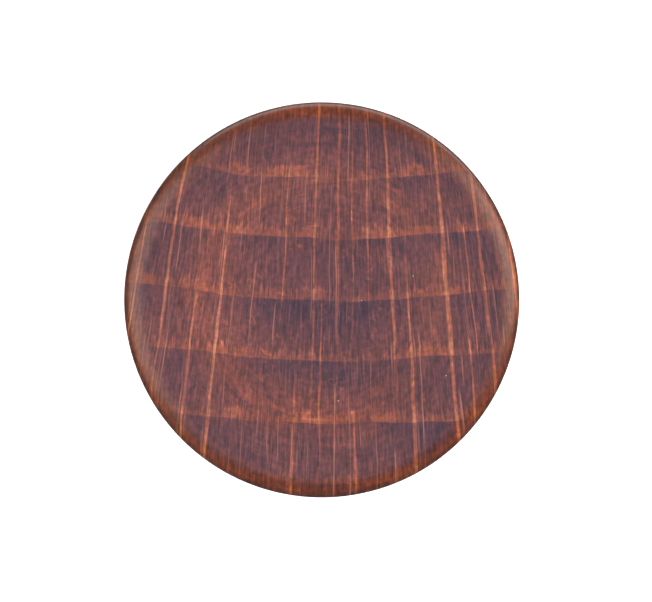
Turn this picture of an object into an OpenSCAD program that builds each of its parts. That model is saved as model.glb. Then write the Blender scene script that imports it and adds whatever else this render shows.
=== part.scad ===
// Round turned offering plate: a wooden plate with a shallow well, a foot ring glued into its
// underside, a felt disc inside the foot and a felt ring that the foot stands on.
// Millimetres, +Z up. The origin is on the axis, at the height of what the plate stands on.

/* [Plate] */
// Diameter over the rounded edge
plate_d = 254; // [226:2:360]
// Thickness from the flat underside to the top of the rim
plate_thick = 20; // [16:0.5:30]
// Height of the upper part of the edge, from its widest line to the rim
edge_top_h = 10; // [6:0.5:12]
// How far the upper part of the edge rolls in over the rim
edge_top_w = 16; // [8:0.5:24]
// How far the lower part of the edge rolls in under the plate
edge_low_w = 14; // [6:0.5:30]

/* [Well] */
// Diameter of the well's flat floor
well_floor_d = 116; // [90:2:144]
// Depth of the well below the rim
well_depth = 5; // [3:0.5:8]
// Width of the slope between the rim and the well's floor
well_slope_w = 38; // [20:1:52]

/* [Foot ring] */
// Width of the foot ring, from its inner wall to its outer wall
foot_w = 10; // [7:0.5:16]
// Depth of the seat that is turned in the underside for the foot ring
seat_depth = 2; // [1:0.25:4]
// Chamfer on the two lower corners of the foot ring
foot_chamfer = 1; // [0.25:0.25:1.5]

/* [Felt] */
// Thickness of both felts
felt_t = 1.5; // [1:0.25:2]
// How far the foot felt stays back from each wall of the foot ring
foot_felt_setback = 1.25; // [0.5:0.25:2]

/* [Clearances] */
// Gap all round the foot when it stands in the well of a plate below
nest_gap = 2; // [1:0.5:4]
// Gap between the rims of two stacked plates
stack_gap = 1; // [0.5:0.5:3]
// Glue gap between the foot ring and each wall of its seat
glue_gap = 0.15; // [0.05:0.05:0.3]
// Gap between the base felt and the foot ring
felt_gap = 0.5; // [0.25:0.25:2]

/* [Hidden] */

// Steps round a circle, along a quarter of the edge, and down the slope of the well
$fn = 180;
EDGE_STEPS = 12;
SLOPE_STEPS = 16;

// Radii from the axis
plate_r = plate_d / 2;
well_floor_r = well_floor_d / 2;
well_top_r = well_floor_r + well_slope_w;
foot_out_r = well_floor_r - nest_gap;
foot_in_r = foot_out_r - foot_w;

// Heights above what the plate stands on
underside_z = well_depth + stack_gap;
seat_z = underside_z + seat_depth;
rim_z = underside_z + plate_thick;
edge_z = rim_z - edge_top_h;
well_floor_z = rim_z - well_depth;

// A quarter of an ellipse about (r, z), from angle `from` over 90 degrees, as [radius, height] points
function quarter(r, z, half_w, half_h, from) = [
    for (i = [0 : EDGE_STEPS])
        let (a = from + 90 * i / EDGE_STEPS)
        [r + half_w * cos(a), z + half_h * sin(a)]
];

// The smooth slope from the rim's inner edge down to the well's floor, as [radius, height] points
function slope() = [
    for (i = [0 : SLOPE_STEPS])
        let (t = i / SLOPE_STEPS)
        [well_top_r - well_slope_w * t, rim_z - well_depth * (1 - cos(180 * t)) / 2]
];

// A flat ring or disc between two radii, standing on height z
module flat_ring(in_r, out_r, z, h) {
    translate([0, 0, z])
        rotate_extrude()
            translate([in_r, 0])
                square([out_r - in_r, h]);
}

// The plate, turned from one piece, with the foot ring's seat in its underside
module plate() {
    outline = concat(
        [[0, underside_z]],
        [[foot_in_r - glue_gap, underside_z], [foot_in_r - glue_gap, seat_z]],
        [[foot_out_r + glue_gap, seat_z], [foot_out_r + glue_gap, underside_z]],
        quarter(plate_r - edge_low_w, edge_z, edge_low_w, edge_z - underside_z, -90),
        quarter(plate_r - edge_top_w, edge_z, edge_top_w, edge_top_h, 0),
        slope(),
        [[0, well_floor_z]]
    );
    color([0.42, 0.24, 0.20])
        rotate_extrude()
            polygon(outline);
}

// The foot ring, turned separately and glued into its seat
module foot_ring() {
    outline = [
        [foot_in_r, felt_t + foot_chamfer],
        [foot_in_r + foot_chamfer, felt_t],
        [foot_out_r - foot_chamfer, felt_t],
        [foot_out_r, felt_t + foot_chamfer],
        [foot_out_r, seat_z],
        [foot_in_r, seat_z]
    ];
    color([0.36, 0.20, 0.16])
        rotate_extrude()
            polygon(outline);
}

// The felt disc that covers the underside inside the foot ring
module base_felt() {
    color([0.11, 0.22, 0.16])
        flat_ring(0, foot_in_r - felt_gap, underside_z - felt_t, felt_t);
}

// The felt ring under the foot, which is what the plate stands on
module foot_felt() {
    color([0.11, 0.22, 0.16])
        flat_ring(foot_in_r + foot_felt_setback, foot_out_r - foot_felt_setback, 0, felt_t);
}

plate();
foot_ring();
base_felt();
foot_felt();
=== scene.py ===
"""Offering plate: a turned, stained wooden plate with a foot ring and two felts, in a plain studio.

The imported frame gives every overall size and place. The plate and the foot ring are turned again here from
finer outlines, the felts are cut and pressed, and each gets the finish of the real thing. Meshes are in
metres, and the finishes work in millimetres.
"""

from __future__ import annotations

import logging
import math
from dataclasses import dataclass
from enum import Enum

import bpy
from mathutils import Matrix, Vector


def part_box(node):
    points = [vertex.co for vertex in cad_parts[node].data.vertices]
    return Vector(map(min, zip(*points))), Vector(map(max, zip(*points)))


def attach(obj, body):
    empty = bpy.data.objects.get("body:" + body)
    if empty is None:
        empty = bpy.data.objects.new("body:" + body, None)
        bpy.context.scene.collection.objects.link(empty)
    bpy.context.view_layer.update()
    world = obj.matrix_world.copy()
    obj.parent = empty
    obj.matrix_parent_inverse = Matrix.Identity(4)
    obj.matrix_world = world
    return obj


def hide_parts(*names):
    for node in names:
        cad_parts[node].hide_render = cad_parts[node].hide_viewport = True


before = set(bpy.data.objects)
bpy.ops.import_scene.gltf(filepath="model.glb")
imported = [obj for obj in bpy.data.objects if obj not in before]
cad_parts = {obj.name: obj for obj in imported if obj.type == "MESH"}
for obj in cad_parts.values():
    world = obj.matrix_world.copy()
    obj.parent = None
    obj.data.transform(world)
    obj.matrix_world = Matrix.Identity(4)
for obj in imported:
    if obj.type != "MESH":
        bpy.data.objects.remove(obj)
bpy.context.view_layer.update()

LOG = logging.getLogger("offering_plate")
MM = 0.001
BODY = "root"
WHITE = (1, 1, 1, 1)
SMOOTH_ANGLE = math.radians(35)
MERGE_GAP = MM / 100
Point = tuple[float, float]
Socket = bpy.types.NodeSocket
Tree = bpy.types.NodeTree


# ---------------------------------------------------------------- small tools


def linear(hex_colour: str) -> tuple[float, float, float, float]:
    """Turn an sRGB hex colour into the linear colour that a shader takes.

    Args:
        hex_colour: Six hex digits, with or without a leading hash.

    Returns:
        Red, green, blue and an alpha of 1, all linear.
    """
    digits = hex_colour.lstrip("#")
    channels = [int(digits[i : i + 2], 16) / 255 for i in (0, 2, 4)]
    red, green, blue = (c / 12.92 if c <= 0.04045 else ((c + 0.055) / 1.055) ** 2.4 for c in channels)
    return red, green, blue, 1.0


def add(
    tree: Tree, kind: str, inputs: dict[int | str, object] | None = None, output: int | str = 0, **settings
) -> Socket | None:
    """Add one node to a tree, set it and link it.

    Args:
        tree: The node tree that gets the node.
        kind: The node's Blender type, without its "ShaderNode" start.
        inputs: For each input, by name or number, a socket to link from or a value to set.
        output: Which of the node's outputs is wanted.
        **settings: The node's own settings.

    Returns:
        The output that was asked for, or None from a node that has none.
    """
    node = tree.nodes.new("ShaderNode" + kind)
    for name, value in settings.items():
        setattr(node, name, value)
    for key, value in (inputs or {}).items():
        if isinstance(value, bpy.types.NodeSocket):
            tree.links.new(value, node.inputs[key])
        else:
            node.inputs[key].default_value = value
    return node.outputs[output] if node.outputs else None


def mark(ramp: Socket, marks: list[tuple[float, tuple | float]]) -> Socket:
    """Set a colour ramp's stops.

    Args:
        ramp: The ramp's colour output.
        marks: The place from 0 to 1 of each stop, in order, with its linear colour or grey.

    Returns:
        The same output.
    """
    elements = ramp.node.color_ramp.elements
    while len(elements) < len(marks):
        elements.new(1.0)
    for element, (place, colour) in zip(elements, marks):
        element.position = place
        element.color = colour if isinstance(colour, tuple) else (colour, colour, colour, 1)
    return ramp


def new_material(name: str) -> tuple[bpy.types.Material, Tree, Socket]:
    """Start an empty material.

    Args:
        name: The material's name.

    Returns:
        The material, its tree and the Object coordinates in millimetres.
    """
    material = bpy.data.materials.new(name)
    material.use_nodes = True
    tree = material.node_tree
    tree.nodes.clear()
    place = add(tree, "TexCoord", output="Object")
    return material, tree, add(tree, "Mapping", {"Vector": place, "Scale": (1 / MM,) * 3})


def finish_piece(piece: bpy.types.Object, material: bpy.types.Material, node: str) -> None:
    """Dress a piece, hang it on the body and let it stand for its CAD node.

    Args:
        piece: The new piece.
        material: The finish that it gets.
        node: The CAD node that it stands for.
    """
    piece.data.materials.append(material)
    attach(piece, BODY)
    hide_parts(node)


class Lathe:
    """Turns an outline about the vertical axis into a closed solid."""

    @staticmethod
    def turn(name: str, outline: list[Point], steps: int, closed: bool = False) -> bpy.types.Object:
        """Draw an outline with extruded points, then spin it all the way round.

        Args:
            name: The new piece's name.
            outline: Radius and height of each point, in order.
            steps: How many flats the turn has.
            closed: Whether the last point joins the first, as on a ring's section.

        Returns:
            The turned piece, with merged seams and its faces pointing outwards.
        """
        bpy.ops.object.select_all(action="DESELECT")
        start, *rest = [Vector((radius, 0, height)) for radius, height in outline]
        bpy.ops.mesh.primitive_plane_add(size=MM, location=start)
        piece = bpy.context.object
        piece.name = piece.data.name = name
        bpy.ops.object.transform_apply(location=True, rotation=True, scale=True)
        bpy.ops.object.mode_set(mode="EDIT")
        bpy.ops.mesh.select_all(action="SELECT")
        bpy.ops.mesh.merge(type="CENTER")
        last = start
        for point in rest + ([start] if closed else []):
            bpy.ops.mesh.extrude_vertices_move(TRANSFORM_OT_translate={"value": point - last})
            last = point
        bpy.ops.mesh.select_all(action="SELECT")
        bpy.ops.mesh.spin(steps=steps, angle=math.tau, center=(0, 0, 0), axis=(0, 0, 1))
        bpy.ops.mesh.select_all(action="SELECT")
        bpy.ops.mesh.remove_doubles(threshold=MERGE_GAP)
        bpy.ops.mesh.normals_make_consistent(inside=False)
        bpy.ops.object.mode_set(mode="OBJECT")
        bpy.ops.object.shade_smooth_by_angle(angle=SMOOTH_ANGLE)
        return piece


# ---------------------------------------------------------------- finishes


@dataclass(frozen=True)
class Ray:
    """One wide wood ray, as a lens-shaped cut. Lengths are in millimetres.

    Attributes:
        across: Where it crosses the plate's centre line.
        middle: How far below the centre line its widest place is.
        half_length: Half of its length.
        width: Its whole width at the widest place.
    """

    across: float
    middle: float
    half_length: float
    width: float


@dataclass(frozen=True)
class RayFamily:
    """Narrow rays that start and stop along the grain. Lengths are in millimetres.

    Attributes:
        spacing: How far apart they are.
        width: The whole width of one.
        run: About how long one stays visible.
        strength: How light they are.
    """

    spacing: float
    width: float
    run: float
    strength: float


@dataclass(frozen=True)
class Figure:
    """What the plate's patterns share.

    Attributes:
        tree: The material's tree.
        flat: Object coordinates in millimetres, with no height.
        reach: How far out a point is, in plate radii.
        fan: Which ray a point is on, by where that ray crosses the plate's centre line, and how far out from
            the pith it is, counted from the plate's middle.
        fibres: The fine grain that runs along the rays.
    """

    tree: Tree
    flat: Socket
    reach: Socket
    fan: Socket
    fibres: Socket


@dataclass(frozen=True)
class StainedEndGrain:
    """Ring-porous hardwood cut across the grain, turned, stained mahogany and varnished satin.

    The growth rings are wide shallow arcs about a pith far beyond the plate, and the rays fan out from it.
    Stain sinks deep into the open early wood, so each ring starts dark and blue and warms towards its late
    wood, and the dense rays take little stain, so they stay orange. The figure is drawn larger than on most
    timber, because that is how this plate's figure reads. Lengths are in millimetres.

    Attributes:
        radius: The plate's radius.
        name: The material's name.
        pith: Where the tree's middle is, counted from the plate's.
        ring_width: How far apart the growth rings are.
        fibre: How far apart the fibres are, and how long they are.
        curl: The size of the curls in the grain.
        stroke: The size of the sanding swirls.
        turning_mark: How far apart the round scratches are.
        mark_patch: The size of the patches that they show in.
        ring_block: How wide a stretch of a ring steps in or out together.
        ring_sway: How long the rings' slow waves are.
        ring_patch: The size of the bright patches in the rings' bands.
        cloud: The size of the clouds in the stain.
        patch: The size of the small patches in the stain's film.
        speck_spacing: How far apart the places for pale specks are.
        speck_radius: A pale speck's radius.
        deepest: Where the stain has sunk deepest.
        plain_tone: The stain's tone, from 0 to 1, where nothing changes it.
        roughness: The varnish's roughness.
        roughness_swing: How far the fibres make it duller or brighter.
        dark, deep, middling, warm, light: The stain's colours, in the order of its tone.
        open_pore, rubbed: What open pores and a thin film tint the stain with.
        green_cast, red_cast: The two tints that the stain drifts between.
        bare, pale_speck: The colours of narrow rays and of pale specks.
        families, rays: The narrow rays and the wide ones.
    """

    radius: float
    name: str = "stained_end_grain"
    pith: Point = (15, 750)
    ring_width: float = 39
    fibre: Point = (1.3, 14)
    curl: float = 3
    stroke: float = 13
    turning_mark: float = 3
    mark_patch: float = 18
    ring_block: float = 28
    ring_sway: float = 60
    ring_patch: float = 24
    cloud: float = 42
    patch: float = 5
    speck_spacing: float = 16
    speck_radius: float = 0.45
    deepest: Point = (10, -15)
    plain_tone: float = 0.335
    roughness: float = 0.36
    roughness_swing: float = 0.06
    dark: str = "#322436"
    deep: str = "#503038"
    middling: str = "#74423e"
    warm: str = "#925446"
    light: str = "#ae7c70"
    open_pore: str = "#b6b6bc"
    bare: str = "#aa7058"
    rubbed: str = "#ffe89c"
    green_cast: str = "#c4d0c8"
    red_cast: str = "#ffecf6"
    pale_speck: str = "#d8c4bc"
    families: tuple[RayFamily, ...] = (
        RayFamily(15, 1.2, 45, 0.38),
        RayFamily(8, 0.9, 35, 0.25),
        RayFamily(2.8, 0.6, 20, 0.13),
    )
    rays: tuple[Ray, ...] = (
        Ray(-120, 0, 60, 1.2),
        Ray(-100, -35, 130, 2.2),
        Ray(-80, 90, 110, 2.0),
        Ray(-65, 60, 150, 2.4),
        Ray(-25, -40, 65, 1.2),
        Ray(-15, 100, 55, 2.0),
        Ray(-5, -75, 175, 2.0),
        Ray(0, 55, 65, 1.4),
        Ray(10, -65, 115, 2.2),
        Ray(20, 105, 45, 1.8),
        Ray(20, -45, 75, 1.2),
        Ray(30, -65, 80, 1.4),
        Ray(45, -45, 115, 2.4),
        Ray(55, 85, 135, 2.2),
        Ray(80, 5, 190, 3.0),
        Ray(90, 75, 75, 1.4),
        Ray(95, -5, 60, 1.2),
        Ray(105, -5, 95, 2.4),
        Ray(125, 0, 75, 3.0),
    )

    def build(self) -> bpy.types.Material:
        """Make the material.

        Returns:
            The material, patterned on Object coordinates.
        """
        material, tree, place = new_material(self.name)
        flat = add(tree, "VectorMath", {0: place, 1: (1, 1, 0)}, operation="MULTIPLY")
        reach = add(tree, "VectorMath", {0: flat}, output="Value", operation="LENGTH")
        reach = add(tree, "Math", {0: reach, 1: self.radius}, operation="DIVIDE")
        fan = self.fan(tree, flat)
        figure = Figure(tree, flat, reach, fan, self.fibres(tree, fan))
        marks, wide, narrow = self.turning_marks(figure), self.wide_rays(figure), self.narrow_rays(figure)
        strokes = self.strokes(figure)
        early, late = self.rings(figure)
        grain = {"marks": marks, "wide": wide, "strokes": strokes, "early": early, "late": late}
        tone = self.tone(figure, grain)
        stops = zip((0, 0.22, 0.5, 0.75, 1), (self.dark, self.deep, self.middling, self.warm, self.light))
        stain = mark(add(tree, "ValToRGB", {"Fac": tone}), [(at, linear(colour)) for at, colour in stops])
        stain = self.tint(figure, grain, stain)
        for share, colour in ((narrow, self.bare), (self.specks(figure), self.pale_speck)):
            pale = {0: share, 6: stain, 7: linear(colour)}
            stain = add(tree, "Mix", pale, output=2, data_type="RGBA")
        relief = add(tree, "Math", {0: figure.fibres, 1: marks}, operation="ADD")
        bump = add(tree, "Bump", {"Height": relief, "Strength": 0.6, "Distance": 0.2 * MM})
        dull, bright = self.roughness + self.roughness_swing, self.roughness - self.roughness_swing
        roughness = add(tree, "MapRange", {"Value": figure.fibres, "To Min": dull, "To Max": bright})
        varnish = {"IOR": 1.45, "Coat Weight": 0.25, "Coat Roughness": 0.28}
        wood = {"Base Color": stain, "Roughness": roughness, "Normal": bump, **varnish}
        add(tree, "OutputMaterial", {"Surface": add(tree, "BsdfPrincipled", wood)})
        return material

    def fan(self, tree: Tree, flat: Socket) -> Socket:
        """Lay the wood's own directions over the plate. The rays waver a little, as wood does.

        Args:
            tree: The material's tree.
            flat: Object coordinates in millimetres, with no height.

        Returns:
            The vector that Figure calls its fan.
        """
        pith_x, pith_y = self.pith
        waver_size, waver_reach = (1 / 20, 1 / 80, 0), 2.0
        from_pith = add(tree, "VectorMath", {0: flat, 1: (pith_x, pith_y, 0)}, operation="SUBTRACT")
        distance = add(tree, "VectorMath", {0: from_pith}, output="Value", operation="LENGTH")
        out = add(tree, "Math", {0: distance, 1: pith_y}, operation="SUBTRACT")
        split = add(tree, "SeparateXYZ", {0: from_pith}).node
        slant = add(tree, "Math", {0: split.outputs["X"], 1: split.outputs["Y"]}, operation="DIVIDE")
        across = add(tree, "Math", {0: slant, 1: -pith_y, 2: pith_x}, operation="MULTIPLY_ADD")
        stretched = add(tree, "VectorMath", {0: flat, 1: waver_size}, operation="MULTIPLY")
        waver = {"Vector": stretched, "Scale": 1.0, "Detail": 2.0}
        waver = add(tree, "TexNoise", waver, noise_dimensions="2D")
        shift = add(tree, "MapRange", {"Value": waver, "To Min": -waver_reach, "To Max": waver_reach})
        across = add(tree, "Math", {0: across, 1: shift}, operation="ADD")
        return add(tree, "CombineXYZ", {"X": across, "Y": out})

    def fibres(self, tree: Tree, fan: Socket) -> Socket:
        """Draw the fine grain that runs along the rays.

        Args:
            tree: The material's tree.
            fan: The vector that Figure calls its fan.

        Returns:
            The grain from 0 to 1, high on dense fibre and low in open pores.
        """
        across, along = self.fibre
        fine = add(tree, "VectorMath", {0: fan, 1: (1 / across, 1 / along, 0)}, operation="MULTIPLY")
        noise = {"Vector": fine, "Scale": 1.0, "Detail": 3.0, "Roughness": 0.6}
        return add(tree, "TexNoise", noise, noise_dimensions="2D")

    def wide_rays(self, figure: Figure) -> Socket:
        """Cut the wide rays, each a lens that fades from half its width to a little past its outline.

        Args:
            figure: What the patterns share.

        Returns:
            How much of a wide ray a point is on, from 0 to 1.
        """
        tree, nearest = figure.tree, None
        for ray in self.rays:
            across, along = 2 / ray.width, 1 / ray.half_length
            shift = (-ray.across * across, -ray.middle * along, 0)
            lens = {0: figure.fan, 1: (across, along, 0), 2: shift}
            lens = add(tree, "VectorMath", lens, operation="MULTIPLY_ADD")
            away = add(tree, "VectorMath", {0: lens}, output="Value", operation="LENGTH")
            if nearest is None:
                nearest = away
            else:
                nearest = add(tree, "Math", {0: nearest, 1: away}, operation="MINIMUM")
        edge = {"Value": nearest, "From Min": 1.15, "From Max": 0.5}
        return add(tree, "MapRange", edge, interpolation_type="SMOOTHSTEP")

    def narrow_rays(self, figure: Figure) -> Socket:
        """Cut all the families of narrow rays, which take hardly any stain.

        Args:
            figure: What the patterns share.

        Returns:
            How bare a point is, from 0 to the strongest family's strength.
        """
        rays = None
        for family in self.families:
            own = self.ray_family(figure, family)
            if rays is None:
                rays = own
            else:
                rays = add(figure.tree, "Math", {0: rays, 1: own}, operation="MAXIMUM")
        return rays

    def ray_family(self, figure: Figure, family: RayFamily) -> Socket:
        """Cut one family of narrow rays. Each ray comes and goes along the grain by itself.

        Args:
            figure: What the patterns share.
            family: Their spacing, width, run and strength.

        Returns:
            How much of a ray a point is on, from 0 to the family's strength.
        """
        tree, per_mm = figure.tree, 1 / family.spacing
        # This far apart in the noise, two neighbours have nothing in common.
        apart = 37.0
        split = add(tree, "SeparateXYZ", {0: figure.fan}).node
        cell = {"W": split.outputs["X"], "Scale": per_mm}
        cell = add(tree, "TexVoronoi", cell, voronoi_dimensions="1D").node
        edge = {"Value": cell.outputs["Distance"], "From Min": family.width / 2 * per_mm, "From Max": 0.0}
        line = add(tree, "MapRange", edge, interpolation_type="SMOOTHSTEP")
        along = add(tree, "Math", {0: split.outputs["Y"], 1: 1 / family.run}, operation="MULTIPLY")
        own = add(tree, "Math", {0: cell.outputs["W"], 1: apart}, operation="MULTIPLY")
        where = add(tree, "CombineXYZ", {"X": own, "Y": along})
        shows = {"Vector": where, "Scale": 1.0, "Detail": 1.0}
        shows = add(tree, "TexNoise", shows, noise_dimensions="2D")
        shows = {"Value": shows, "From Min": 0.5, "From Max": 0.7, "To Max": family.strength}
        shows = add(tree, "MapRange", shows, interpolation_type="SMOOTHSTEP")
        return add(tree, "Math", {0: line, 1: shows}, operation="MULTIPLY")

    def turning_marks(self, figure: Figure) -> Socket:
        """Draw the round scratches of turning and sanding, drawn coarser than real ones so that they show.

        Args:
            figure: What the patterns share.

        Returns:
            The scratches, from 0 to 1 about a half. They come in patches, strongest on the well's slope.
        """
        tree, marks_per_radian = figure.tree, 2.6
        distance = add(tree, "Math", {0: figure.reach, 1: self.radius}, operation="MULTIPLY")
        heading = add(tree, "VectorMath", {0: figure.flat}, operation="NORMALIZE")
        heading = {0: heading, 1: (marks_per_radian, marks_per_radian, 0)}
        heading = add(tree, "VectorMath", heading, operation="MULTIPLY")
        rounds = add(tree, "Math", {0: distance, 1: 1 / self.turning_mark}, operation="MULTIPLY")
        rounds = add(tree, "CombineXYZ", {"Z": rounds})
        where = add(tree, "VectorMath", {0: heading, 1: rounds}, operation="ADD")
        marks = add(tree, "TexNoise", {"Vector": where, "Scale": 1.0, "Detail": 3.0, "Roughness": 0.6})
        patches = {"Vector": figure.flat, "Scale": 1 / self.mark_patch, "Detail": 2.0}
        patches = add(tree, "TexNoise", patches, noise_dimensions="2D")
        patches = {"Value": patches, "From Min": 0.42, "From Max": 0.62, "To Min": 0.25}
        patches = add(tree, "MapRange", patches)
        zones = [(0, 0.2), (0.3, 0.4), (0.5, 0.9), (0.62, 1.0), (0.75, 0.7), (0.95, 0.55)]
        zone = mark(add(tree, "ValToRGB", {"Fac": figure.reach}), zones)
        strength = add(tree, "Math", {0: patches, 1: zone}, operation="MULTIPLY")
        marks = add(tree, "Math", {0: marks, 1: 0.5}, operation="SUBTRACT")
        return add(tree, "Math", {0: marks, 1: strength, 2: 0.5}, operation="MULTIPLY_ADD")

    def strokes(self, figure: Figure) -> Socket:
        """Draw the thin curly swirls that an orbital sander leaves, most of them in the middle of the well.

        Args:
            figure: What the patterns share.

        Returns:
            How much of a stroke a point is on, from 0 to 1.
        """
        tree, flat = figure.tree, figure.flat
        noise = {"Vector": flat, "Scale": 1 / self.stroke, "Detail": 1.0, "Distortion": 1.5}
        noise = add(tree, "TexNoise", noise, noise_dimensions="2D")
        contour = add(tree, "Math", {0: noise, 1: 0.5}, operation="SUBTRACT")
        contour = add(tree, "Math", {0: contour}, operation="ABSOLUTE")
        line = {"Value": contour, "From Min": 0.035, "From Max": 0.0}
        line = add(tree, "MapRange", line, interpolation_type="SMOOTHSTEP")
        shows = add(tree, "TexNoise", {"Vector": flat, "Scale": 1 / self.stroke, "Detail": 0.0})
        shows = add(tree, "MapRange", {"Value": shows, "From Min": 0.45, "From Max": 0.60})
        line = add(tree, "Math", {0: line, 1: shows}, operation="MULTIPLY")
        inner = {"Value": figure.reach, "From Min": 0.4, "From Max": 0.7, "To Min": 1.0, "To Max": 0.0}
        return add(tree, "Math", {0: line, 1: add(tree, "MapRange", inner)}, operation="MULTIPLY")

    def specks(self, figure: Figure) -> Socket:
        """Scatter a few pale specks, each less than a millimetre across.

        Args:
            figure: What the patterns share.

        Returns:
            How pale a point is, from 0 to 0.6. There are no pale specks on the steep part of the edge.
        """
        tree, palest, empty_share, face_end = figure.tree, 0.6, 0.84, 0.95
        cell = {"Vector": figure.flat, "Scale": 1 / self.speck_spacing}
        cell = add(tree, "TexVoronoi", cell, voronoi_dimensions="2D").node
        size = self.speck_radius / self.speck_spacing
        dot = {"Value": cell.outputs["Distance"], "From Min": size, "From Max": size / 3}
        dot = add(tree, "MapRange", {**dot, "To Max": palest})
        rare = add(tree, "Math", {0: cell.outputs["Color"], 1: empty_share}, operation="GREATER_THAN")
        face = add(tree, "Math", {0: figure.reach, 1: face_end}, operation="LESS_THAN")
        for share in (rare, face):
            dot = add(tree, "Math", {0: dot, 1: share}, operation="MULTIPLY")
        return dot

    def tone(self, figure: Figure, grain: dict[str, Socket]) -> Socket:
        """Work out how the stain has taken, from dark and deep to light and warm.

        It starts from the plain tone and the rings. Each layer then lifts it where the layer is over a
        half, and lowers it where it is under. The plate is lighter on the well's slope, partly a real ring
        in the stain and partly painted light for the slope's different reflection, and it is rubbed round
        the edge. The stain has sunk deepest just below the middle, and the tone is a little lighter towards
        the left, partly the wood's own tone and partly a painted sheen for the light from the left.

        Args:
            figure: What the patterns share.
            grain: The turning marks, the wide rays, the strokes, and the rings' early and late wood.

        Returns:
            The stain's tone from 0 to 1.
        """
        tree, flat, reach = figure.tree, figure.flat, figure.reach
        # Lighter on the well's slope, about 0.6: partly a real ring in the stain, partly painted light for
        # the slope's different reflection. Lighter again in the rubbed band round the edge.
        wear_and_slope_light = [(0, 0.44), (0.3, 0.48), (0.48, 0.52), (0.6, 0.63), (0.7, 0.5), (0.86, 0.42), (0.93, 0.49)]
        wear_and_slope_light += [(0.965, 0.61), (0.985, 0.45)]
        worn_and_slope_lit = mark(add(tree, "ValToRGB", {"Fac": reach}), wear_and_slope_light)
        away = {0: flat, 1: (*self.deepest, 0)}
        away = add(tree, "VectorMath", away, output="Value", operation="DISTANCE")
        sunk = {"Value": away, "From Min": 15, "From Max": 75, "To Min": 0.43, "To Max": 0.5}
        sunk = add(tree, "MapRange", sunk, interpolation_type="SMOOTHSTEP")
        across = add(tree, "SeparateXYZ", {0: flat})
        # Lighter towards the left: partly the wood's own tone, partly a painted sheen for the light from the
        # left.
        side = {"Value": across, "From Min": -self.radius, "From Max": self.radius}
        side = add(tree, "MapRange", {**side, "To Min": 0.55, "To Max": 0.46})
        cloud = {"Vector": flat, "Scale": 1 / self.cloud, "Detail": 3.0}
        cloud = add(tree, "TexNoise", cloud, noise_dimensions="2D")
        curls = {"Vector": flat, "Scale": 1 / self.curl, "Detail": 2.0, "Distortion": 1.2}
        curls = add(tree, "TexNoise", curls, noise_dimensions="2D")
        layers = (
            (worn_and_slope_lit, 1.0),
            (sunk, 1.0),
            (side, 1.0),
            (cloud, 0.24),
            (figure.fibres, 0.09),
            (curls, 0.14),
            (grain["marks"], 1.0),
        )
        rings = add(tree, "Math", {0: grain["late"], 1: grain["early"]}, operation="SUBTRACT")
        kept = {"Value": reach, "From Min": 0.88, "From Max": 0.95, "To Min": 1.0, "To Max": 0.35}
        tone = {0: rings, 1: add(tree, "MapRange", kept), 2: self.plain_tone}
        tone = add(tree, "Math", tone, operation="MULTIPLY_ADD")
        for layer, amount in layers:
            change = add(tree, "Math", {0: layer, 1: amount, 2: -amount / 2}, operation="MULTIPLY_ADD")
            tone = add(tree, "Math", {0: tone, 1: change}, operation="ADD")
        off_line = add(tree, "Math", {0: across}, operation="ABSOLUTE")
        dulled = {"Value": off_line, "From Min": 20, "From Max": 70, "To Min": 0.38, "To Max": 0.5}
        cuts = {0: grain["wide"], 1: add(tree, "MapRange", dulled), 2: tone}
        tone = add(tree, "Math", cuts, operation="MULTIPLY_ADD")
        return add(tree, "Math", {0: grain["strokes"], 1: 0.24, 2: tone}, operation="MULTIPLY_ADD")

    def tint(self, figure: Figure, grain: dict[str, Socket], stain: Socket) -> Socket:
        """Keep the stain cool where it lies thick, and brown it on rays, late wood and the rubbed edge.

        Args:
            figure: What the patterns share.
            grain: The turning marks, the wide rays, the strokes, and the rings' early and late wood.
            stain: The stain's colour.

        Returns:
            The tinted colour.
        """
        tree, flat, reach = figure.tree, figure.flat, figure.reach
        # Thinner film, so warmer stain, on the well's slope: partly a real ring, partly painted light for
        # the slope's different reflection. Rubbed thin round the edge.
        film = [(0, 0.92), (0.4, 0.82), (0.6, 0.62), (0.75, 0.8), (0.89, 0.78), (0.945, 0.25), (0.975, 0.02)]
        thick = mark(add(tree, "ValToRGB", {"Fac": reach}), film)
        for size, amount in ((self.patch, 0.5), (self.patch * 5, 0.5)):
            noise = {"Vector": flat, "Scale": 1 / size, "Detail": 4.0}
            noise = add(tree, "TexNoise", noise, noise_dimensions="2D")
            change = add(tree, "Math", {0: noise, 1: amount, 2: -amount / 2}, operation="MULTIPLY_ADD")
            thick = add(tree, "Math", {0: thick, 1: change}, operation="ADD", use_clamp=True)
        off_mark = add(tree, "Math", {0: grain["marks"], 1: 0.5}, operation="SUBTRACT")
        parts = (
            (off_mark, -0.5),
            (grain["wide"], -0.3),
            (grain["strokes"], -0.1),
            (grain["late"], -1.1),
            (grain["early"], 0.8),
        )
        for part, amount in parts:
            change = {0: part, 1: amount, 2: thick}
            thick = add(tree, "Math", change, operation="MULTIPLY_ADD", use_clamp=True)
        cast = {"Vector": flat, "Scale": 1 / self.curl, "Detail": 3.0}
        cast = add(tree, "TexNoise", cast, output="Color", noise_dimensions="2D")
        cast = add(tree, "MapRange", {"Value": cast, "From Min": 0.35, "From Max": 0.65})
        dense = add(tree, "MapRange", {"Value": figure.fibres, "From Min": 0.3, "From Max": 0.7})
        tints = (
            {0: dense, 6: linear(self.open_pore), 7: WHITE},
            {0: thick, 6: linear(self.rubbed), 7: WHITE},
            {0: cast, 6: linear(self.green_cast), 7: linear(self.red_cast)},
        )
        for choice in tints:
            tint = add(tree, "Mix", choice, output=2, data_type="RGBA")
            both = {0: 1.0, 6: stain, 7: tint}
            stain = add(tree, "Mix", both, output=2, data_type="RGBA", blend_type="MULTIPLY")
        return stain

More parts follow.
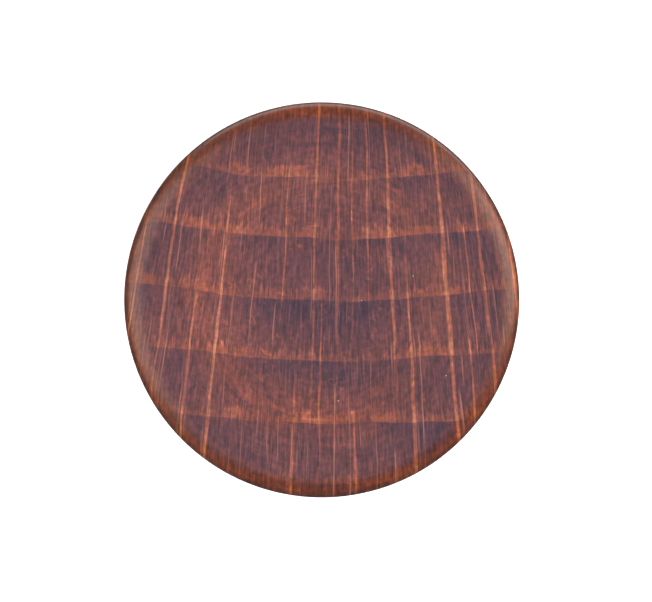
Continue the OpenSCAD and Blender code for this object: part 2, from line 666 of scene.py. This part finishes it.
    def rings(self, figure: Figure) -> tuple[Socket, Socket]:
        """Draw the growth rings: each starts dark in its open early wood and ends in an uneven light band.

        The early wood is darkest just below the middle, where the stain lies deepest. The rings step a
        little from block to block and sway slowly, and patches set how bright and how wide a band is.

        Args:
            figure: What the patterns share. Its fibres feather the bands.

        Returns:
            How dark the early wood is, from 0 to 0.23, and how light the late wood is, from 0 to about 0.3.
        """
        tree, flat, fibres, feather = figure.tree, figure.flat, figure.fibres, 0.06
        split = add(tree, "SeparateXYZ", {0: figure.fan}).node
        block = {"W": split.outputs["X"], "Scale": 1 / self.ring_block}
        block = add(tree, "TexVoronoi", block, output="Color", voronoi_dimensions="1D")
        sway = {"Vector": flat, "Scale": 1 / self.ring_sway, "Detail": 1.0}
        sway = add(tree, "TexNoise", sway, noise_dimensions="2D")
        out = split.outputs["Y"]
        for waver, amount in ((block, 1.0), (fibres, 0.8), (sway, 3.0)):
            shift = add(tree, "Math", {0: waver, 1: 2 * amount, 2: -amount}, operation="MULTIPLY_ADD")
            out = add(tree, "Math", {0: out, 1: shift}, operation="ADD")
        turn = add(tree, "Math", {0: out, 1: self.ring_width}, operation="DIVIDE")
        phase = add(tree, "Math", {0: turn}, operation="FRACT")
        patches = {"Vector": flat, "Scale": 1 / self.ring_patch, "Detail": 3.0}
        patches = add(tree, "TexNoise", patches, noise_dimensions="2D")
        patches = add(tree, "MapRange", {"Value": patches, "From Min": 0.32, "From Max": 0.68})
        away = {0: flat, 1: (*self.deepest, 0)}
        away = add(tree, "VectorMath", away, output="Value", operation="DISTANCE")
        depth = {"Value": away, "From Min": 15, "From Max": 105, "To Min": 0.23, "To Max": 0.07}
        depth = add(tree, "MapRange", depth)
        early = {"Value": phase, "From Min": 0.0, "From Max": 0.6, "To Min": 1.0, "To Max": 0.0}
        early = add(tree, "MapRange", early, interpolation_type="SMOOTHERSTEP")
        for share in (patches, depth):
            early = add(tree, "Math", {0: early, 1: share}, operation="MULTIPLY")
        start = add(tree, "MapRange", {"Value": patches, "To Min": 1.05, "To Max": 0.93})
        start = add(tree, "Math", {0: fibres, 1: -0.3, 2: start}, operation="MULTIPLY_ADD")
        stop = add(tree, "Math", {0: start, 1: feather}, operation="ADD")
        band = {"Value": phase, "From Min": start, "From Max": stop, "To Max": 0.26}
        band = add(tree, "MapRange", band, interpolation_type="SMOOTHSTEP")
        bright = add(tree, "MapRange", {"Value": patches, "To Min": 0.15, "To Max": 1.0})
        band = add(tree, "Math", {0: band, 1: bright}, operation="MULTIPLY")
        dawn = add(tree, "MapRange", {"Value": phase, "From Min": 0.5, "To Max": 0.06})
        return early, add(tree, "Math", {0: band, 1: dawn}, operation="ADD")


@dataclass(frozen=True)
class StainedSideGrain:
    """The same hardwood cut along the grain, for the foot ring: fine dark lines and short open pores.

    It has the plate's stain and varnish, a little darker where hands and shelves have not rubbed it. Lengths
    are in millimetres.

    Attributes:
        name: The material's name.
        line: How long the dark lines are, and how far apart.
        pore: How long the open pores are, and how far apart.
        dark, middling, light: The stain's colours, in the order of its tone.
    """

    name: str = "stained_side_grain"
    line: Point = (30, 1.1)
    pore: Point = (6, 0.5)
    dark: str = "#2c1620"
    middling: str = "#5a2c28"
    light: str = "#8a4c36"

    def build(self) -> bpy.types.Material:
        """Make the material.

        Returns:
            The material, patterned on Object coordinates.
        """
        material, tree, place = new_material(self.name)
        tone = None
        for (along, across), amount in ((self.line, 1.0), (self.pore, 0.5)):
            grid = (1 / along, 1 / across, 1 / across)
            stretched = add(tree, "VectorMath", {0: place, 1: grid}, operation="MULTIPLY")
            noise = {"Vector": stretched, "Scale": 1.0, "Detail": 3.0, "Roughness": 0.6}
            noise = add(tree, "TexNoise", noise)
            change = add(tree, "Math", {0: noise, 1: amount, 2: -amount / 2}, operation="MULTIPLY_ADD")
            tone = change if tone is None else add(tree, "Math", {0: tone, 1: change}, operation="ADD")
        spread = {"Value": tone, "From Min": -0.35, "From Max": 0.35}
        tone = add(tree, "MapRange", spread)
        stops = zip((0, 0.5, 1), (self.dark, self.middling, self.light))
        stain = mark(add(tree, "ValToRGB", {"Fac": tone}), [(at, linear(colour)) for at, colour in stops])
        bump = add(tree, "Bump", {"Height": tone, "Strength": 0.4, "Distance": 0.1 * MM})
        roughness = add(tree, "MapRange", {"Value": tone, "To Min": 0.46, "To Max": 0.34})
        varnish = {"IOR": 1.45, "Coat Weight": 0.2, "Coat Roughness": 0.28}
        wood = {"Base Color": stain, "Roughness": roughness, "Normal": bump, **varnish}
        add(tree, "OutputMaterial", {"Surface": add(tree, "BsdfPrincipled", wood)})
        return material


@dataclass(frozen=True)
class PressedFelt:
    """Dark green pressed wool felt: no weave, a close tangle of fibres and a soft dull sheen.

    A wool fibre is about 0.02 mm thick, too fine to show, so the tangle is drawn about 0.5 mm coarse.
    Lengths are in millimetres.

    Attributes:
        name: The material's name.
        tangle: The size of the tangle's loops.
        clump: The size of the denser clumps.
        dark, light: The wool's colours.
    """

    name: str = "pressed_felt"
    tangle: float = 0.5
    clump: float = 5
    dark: str = "#12241a"
    light: str = "#2c5040"

    def build(self) -> bpy.types.Material:
        """Make the material.

        Returns:
            The material, patterned on Object coordinates.
        """
        material, tree, place = new_material(self.name)
        tangle = {"Vector": place, "Scale": 1 / self.tangle, "Detail": 3.0, "Roughness": 0.7}
        tangle = add(tree, "TexNoise", {**tangle, "Distortion": 2.0})
        clumps = add(tree, "TexNoise", {"Vector": place, "Scale": 1 / self.clump, "Detail": 2.0})
        tone = add(tree, "Mix", {0: 0.4, 2: tangle, 3: clumps})
        spread = add(tree, "MapRange", {"Value": tone, "From Min": 0.35, "From Max": 0.65})
        stops = [(0, linear(self.dark)), (1, linear(self.light))]
        colour = mark(add(tree, "ValToRGB", {"Fac": spread}), stops)
        bump = add(tree, "Bump", {"Height": tangle, "Strength": 0.8, "Distance": 0.2 * MM})
        roughness = add(tree, "MapRange", {"Value": tangle, "To Min": 0.98, "To Max": 0.86})
        nap = {"Sheen Weight": 0.35, "Sheen Roughness": 0.5, "Specular IOR Level": 0.2}
        wool = {"Base Color": colour, "Roughness": roughness, "Normal": bump, **nap}
        add(tree, "OutputMaterial", {"Surface": add(tree, "BsdfPrincipled", wool)})
        return material


# ---------------------------------------------------------------- pieces


@dataclass
class Fits:
    """The sizes that the plate, the foot and the felts share, from the frame and a few named gaps.

    Attributes:
        nest_gap: How far a foot stays from the wall of the well that it nests in.
        stack_gap: How far the rims of two nested plates stay apart.
        glue_gap: The gap at each wall of the foot ring's seat.
        felt_gap: The gap between the base felt and the foot ring.
    """

    nest_gap: float = 2 * MM
    stack_gap: float = 1 * MM
    glue_gap: float = 0.15 * MM
    felt_gap: float = 0.5 * MM

    @property
    def foot_in_r(self) -> float:
        """Radius of the foot ring's inner wall."""
        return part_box("base_felt")[1].x + self.felt_gap

    @property
    def foot_out_r(self) -> float:
        """Radius of the foot ring's outer wall."""
        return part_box("foot_ring")[1].x

    @property
    def well_floor_r(self) -> float:
        """Radius of the well's flat floor, which a foot above nests in."""
        return self.foot_out_r + self.nest_gap

    @property
    def well_depth(self) -> float:
        """Depth of the well below the rim."""
        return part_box("plate")[0].z - self.stack_gap


@dataclass
class Plate:
    """The plate itself, turned from one piece of wood.

    Attributes:
        fits: The sizes that it shares with the foot and the felts.
        edge_top_h, edge_top_w: The height and width of the edge's roll above its widest line.
        edge_low_w: The width of the roll below that line.
        well_slope_w: How wide the well's slope is.
        steps: How many flats the turn has.
        curve_steps, floor_steps: How many steps draw a curve, and a flat.
    """

    fits: Fits
    edge_top_h: float = 10 * MM
    edge_top_w: float = 16 * MM
    edge_low_w: float = 14 * MM
    well_slope_w: float = 38 * MM
    steps: int = 288
    curve_steps: int = 28
    floor_steps: int = 12

    def outline(self) -> list[Point]:
        """Draw half of the plate's section.

        Returns:
            Radius and height of each point, from the axis below to the axis above.
        """
        low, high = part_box("plate")
        fits, radius, rim_z, under_z = self.fits, high.x, high.z, low.z
        edge_z, floor_z = rim_z - self.edge_top_h, rim_z - fits.well_depth
        floor_r, top_r = fits.well_floor_r, fits.well_floor_r + self.well_slope_w
        seat_in, seat_out = fits.foot_in_r - fits.glue_gap, fits.foot_out_r + fits.glue_gap
        seat_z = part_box("foot_ring")[1].z
        shares = [i / self.curve_steps for i in range(self.curve_steps + 1)]
        turns = [share * math.pi / 2 for share in shares]
        underside = [(seat_in * i / self.floor_steps, under_z) for i in range(self.floor_steps)]
        seat = [(seat_in, under_z), (seat_in, seat_z), (seat_out, seat_z), (seat_out, under_z)]
        low_w, low_h = self.edge_low_w, edge_z - under_z
        low_edge = [(radius - low_w * (1 - math.sin(t)), edge_z - low_h * math.cos(t)) for t in turns]
        top_w, top_h = self.edge_top_w, self.edge_top_h
        top_edge = [(radius - top_w * (1 - math.cos(t)), edge_z + top_h * math.sin(t)) for t in turns[1:]]
        rim_w = radius - top_w - top_r
        rim = [(top_r + rim_w * share, rim_z) for share in (0.75, 0.5, 0.25)]
        slope = [
            (top_r - self.well_slope_w * t, rim_z - fits.well_depth * (1 - math.cos(math.pi * t)) / 2)
            for t in shares
        ]
        floor = [(floor_r * (1 - i / self.floor_steps), floor_z) for i in range(1, self.floor_steps + 1)]
        return underside + seat + low_edge + top_edge + rim + slope + floor

    def build(self) -> bpy.types.Object:
        """Turn the plate and dress it.

        Returns:
            The finished plate.
        """
        piece = Lathe.turn("turned_plate", self.outline(), self.steps)
        wood = StainedEndGrain(radius=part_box("plate")[1].x / MM)
        finish_piece(piece, wood.build(), "plate")
        return piece


@dataclass
class FootRing:
    """The foot ring, turned separately and glued into its seat.

    Attributes:
        fits: The sizes that it shares with the plate and the felts.
        chamfer: The cut at its two lower corners.
        arris: How far every corner is eased, in arris_steps steps.
        corner: The least angle that counts as a corner.
        steps: How many flats the turn has.
    """

    fits: Fits
    chamfer: float = 1 * MM
    arris: float = 0.25 * MM
    arris_steps: int = 3
    corner: float = math.radians(30)
    steps: int = 256

    def build(self) -> bpy.types.Object:
        """Turn the ring, ease its corners and dress it.

        Returns:
            The finished ring.
        """
        low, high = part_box("foot_ring")
        in_r, out_r, cut = self.fits.foot_in_r, self.fits.foot_out_r, self.chamfer
        inside = [(in_r, high.z), (in_r, low.z + cut), (in_r + cut, low.z)]
        outside = [(out_r - cut, low.z), (out_r, low.z + cut), (out_r, high.z)]
        piece = Lathe.turn("turned_foot_ring", inside + outside, self.steps, closed=True)
        ease = piece.modifiers.new("eased_corners", "BEVEL")
        ease.width = self.arris
        ease.segments = self.arris_steps
        ease.limit_method = "ANGLE"
        ease.angle_limit = self.corner
        bpy.ops.object.modifier_apply(modifier=ease.name)
        bpy.ops.object.shade_smooth_by_angle(angle=SMOOTH_ANGLE)
        finish_piece(piece, StainedSideGrain().build(), "foot_ring")
        return piece


@dataclass
class Felts:
    """The felt disc inside the foot and the felt ring under it, cut from one sheet.

    Attributes:
        fits: The sizes that they share with the plate and the foot.
        material: The felt's finish.
        soft_edge: The radius of the lower edges.
        loft: How uneven the faces are.
        loft_size: How far apart their high places are.
        radial_step: How far apart the rings of points on a face are, of which it has least_rings or more.
        steps: How many flats the turn has.
        edge_steps: How many steps draw an edge.
    """

    fits: Fits
    material: bpy.types.Material
    soft_edge: float = 0.5 * MM
    loft: float = 0.12 * MM
    loft_size: float = 4 * MM
    radial_step: float = 1.5 * MM
    least_rings: int = 4
    steps: int = 240
    edge_steps: int = 5

    def section(self, node: str, in_r: float) -> list[Point]:
        """Draw a felt's section, set in by the loft so that its uneven face stays in its space.

        Args:
            node: The CAD node that it stands for.
            in_r: Its inner radius, or 0 for a disc.

        Returns:
            Radius and height of each point: out along the face below, round the soft edge and back along
            the top.
        """
        low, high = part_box(node)
        out_r, low_z, high_z = high.x - self.loft, low.z + self.loft, high.z - self.loft
        soft = self.soft_edge
        in_r += self.loft if in_r else 0
        face_in = in_r + (soft if in_r else 0)
        count = max(self.least_rings, round((out_r - soft - face_in) / self.radial_step))
        face = [face_in + (out_r - soft - face_in) * i / count for i in range(count + 1)]
        turns = [math.pi / 2 * i / self.edge_steps for i in range(self.edge_steps + 1)]
        outer = [(out_r - soft * (1 - math.sin(t)), low_z + soft * (1 - math.cos(t))) for t in turns[1:]]
        inner = [(in_r + soft * (1 - math.cos(t)), low_z + soft * (1 - math.sin(t))) for t in turns[:-1]]
        top = [(r, high_z) for r in reversed(face)]
        if in_r:
            return inner + [(r, low_z) for r in face] + outer + [(out_r, high_z)] + top + [(in_r, high_z)]
        return [(r, low_z) for r in face] + outer + [(out_r, high_z)] + top

    def cut(self, name: str, node: str, in_r: float) -> bpy.types.Object:
        """Cut one felt, roughen its faces with the felt's loft and dress it.

        Args:
            name: The new piece's name.
            node: The CAD node that it stands for.
            in_r: Its inner radius, or 0 for a disc.

        Returns:
            The finished felt.
        """
        piece = Lathe.turn(name, self.section(node, in_r), self.steps, closed=in_r > 0)
        clouds = bpy.data.textures.new(name + "_loft", "CLOUDS")
        clouds.noise_scale = self.loft_size
        uneven = piece.modifiers.new("loft", "DISPLACE")
        uneven.texture = clouds
        uneven.strength = self.loft
        bpy.ops.object.modifier_apply(modifier=uneven.name)
        finish_piece(piece, self.material, node)
        return piece

    def build(self) -> list[bpy.types.Object]:
        """Cut both felts.

        Returns:
            The disc and the ring.
        """
        disc = self.cut("felt_base_disc", "base_felt", 0)
        setback = self.fits.foot_out_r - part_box("foot_felt")[1].x
        ring = self.cut("felt_foot_ring", "foot_felt", self.fits.foot_in_r + setback)
        return [disc, ring]


# ---------------------------------------------------------------- studio


class Side(Enum):
    """The softboxes, each by where it hangs or what it does."""

    TOP = "overhead"
    FILL = "fill"
    BACK = "back"
    LEFT = "left"
    RIGHT = "right"


@dataclass
class Studio:
    """The floor, the lights and the camera. Lengths are in metres, but for the lens and the sensor.

    Attributes:
        lens_mm: The lens's focal length in millimetres.
        sensor_mm: The sensor's width in millimetres.
        view_width: How wide the view is at the height of the plate's edge.
        edge_drop: How far below the rim that is.
        aim: The point that the camera hangs over.
        light_aim: The height above the floor at which the softboxes point.
        floor_radius, floor_sides: The floor's radius, and how many sides it has.
    """

    lens_mm: float = 85
    sensor_mm: float = 36
    view_width: float = 0.419
    edge_drop: float = 10 * MM
    aim: Point = (2.7 * MM, -0.7 * MM)
    light_aim: float = 20 * MM
    floor_radius: float = 2.0
    floor_sides: int = 128

    def build(self) -> None:
        """Set up everything that isn't the object."""
        bpy.context.scene.view_settings.view_transform = "Standard"
        self.floor()
        self.world()
        self.lights()
        self.camera()

    def floor(self) -> None:
        """Lay a plain pale floor that glows a little, as a light table does."""
        disc = {"vertices": self.floor_sides, "radius": self.floor_radius, "fill_type": "NGON"}
        bpy.ops.object.select_all(action="DESELECT")
        bpy.ops.mesh.primitive_circle_add(location=(0, 0, 0), **disc)
        floor = bpy.context.object
        floor.name = "studio_floor"
        material = bpy.data.materials.new("pale_matt_paper")
        material.use_nodes = True
        shader = material.node_tree.nodes["Principled BSDF"]
        shader.inputs["Base Color"].default_value = linear("#f8f8f8")
        shader.inputs["Roughness"].default_value = 0.9
        shader.inputs["Emission Color"].default_value = WHITE
        shader.inputs["Emission Strength"].default_value = 0.3
        floor.data.materials.append(material)
        floor.visible_glossy = False

    def world(self) -> None:
        """Fill the room with soft light, dimmer in reflections, and make it white behind the floor."""
        world = bpy.data.worlds.new("studio_room")
        bpy.context.scene.world = world
        world.use_nodes = True
        tree = world.node_tree
        tree.nodes.clear()
        path = add(tree, "LightPath").node
        room = add(tree, "Background", {"Color": WHITE, "Strength": 0.25})
        reflected = add(tree, "Background", {"Color": WHITE, "Strength": 0.12})
        backdrop = add(tree, "Background", {"Color": WHITE, "Strength": 1.0})
        light = add(tree, "MixShader", {0: path.outputs["Is Glossy Ray"], 1: room, 2: reflected})
        both = add(tree, "MixShader", {0: path.outputs["Is Camera Ray"], 1: light, 2: backdrop})
        add(tree, "OutputWorld", {"Surface": both})

    def softbox(
        self, side: Side, place: tuple[float, float, float], size: Point, power: float, colour: str
    ) -> None:
        """Hang one softbox that faces the plate.

        The fill doesn't show in reflections, and the back one shows only there.

        Args:
            side: Which softbox it is.
            place: Where its middle is.
            size: Its width and height.
            power: Its power in watts.
            colour: Its colour as sRGB hex.
        """
        data = bpy.data.lights.new(f"softbox_{side.value}", "AREA")
        data.shape = "RECTANGLE"
        data.size, data.size_y = size
        data.energy = power
        data.color = linear(colour)[:3]
        light = bpy.data.objects.new(data.name, data)
        bpy.context.scene.collection.objects.link(light)
        light.location = place
        aim = Vector((0, 0, self.light_aim)) - Vector(place)
        light.rotation_mode = "QUATERNION"
        light.rotation_quaternion = aim.to_track_quat("-Z", "Y")
        light.visible_camera = False
        light.visible_glossy = side is not Side.FILL
        light.visible_diffuse = side is not Side.BACK

    def lights(self) -> None:
        """Hang the softboxes: a wide one overhead, a fill above it, one at each side and one at the back.

        The one at the back stands partly below the table's level, to draw a pale line along the far outline.
        """
        self.softbox(Side.TOP, (-0.2, 0, 1.6), (2.4, 1.6), 8, "#dde6ff")
        self.softbox(Side.FILL, (0.6, -0.55, 2.4), (2.0, 2.0), 87, "#f8f9ff")
        self.softbox(Side.LEFT, (-1.4, 0.1, 1.1), (1.8, 1.6), 26, "#ffece4")
        self.softbox(Side.RIGHT, (1.2, 0.35, 0.7), (1.2, 1.4), 24, "#ffdccc")
        self.softbox(Side.BACK, (0.15, 1.35, -0.25), (2.9, 0.6), 19, "#ffe8e0")

    def camera(self) -> None:
        """Hang the camera straight above the plate."""
        data = bpy.data.cameras.new("overhead")
        data.lens, data.sensor_width = self.lens_mm, self.sensor_mm
        camera = bpy.data.objects.new("overhead", data)
        bpy.context.scene.collection.objects.link(camera)
        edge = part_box("plate")[1].z - self.edge_drop
        distance = self.view_width * self.lens_mm / self.sensor_mm
        camera.location = (*self.aim, edge + distance)
        bpy.context.scene.camera = camera


def main() -> None:
    """Build every piece in order, then the studio round it."""
    logging.basicConfig(level=logging.INFO, format="%(name)s: %(message)s")
    fits = Fits()
    pieces = [Plate(fits).build(), FootRing(fits).build(), *Felts(fits, PressedFelt().build()).build()]
    for piece in pieces:
        LOG.info("%s: %d faces", piece.name, len(piece.data.polygons))
    Studio().build()


if __name__ == "__main__":
    main()
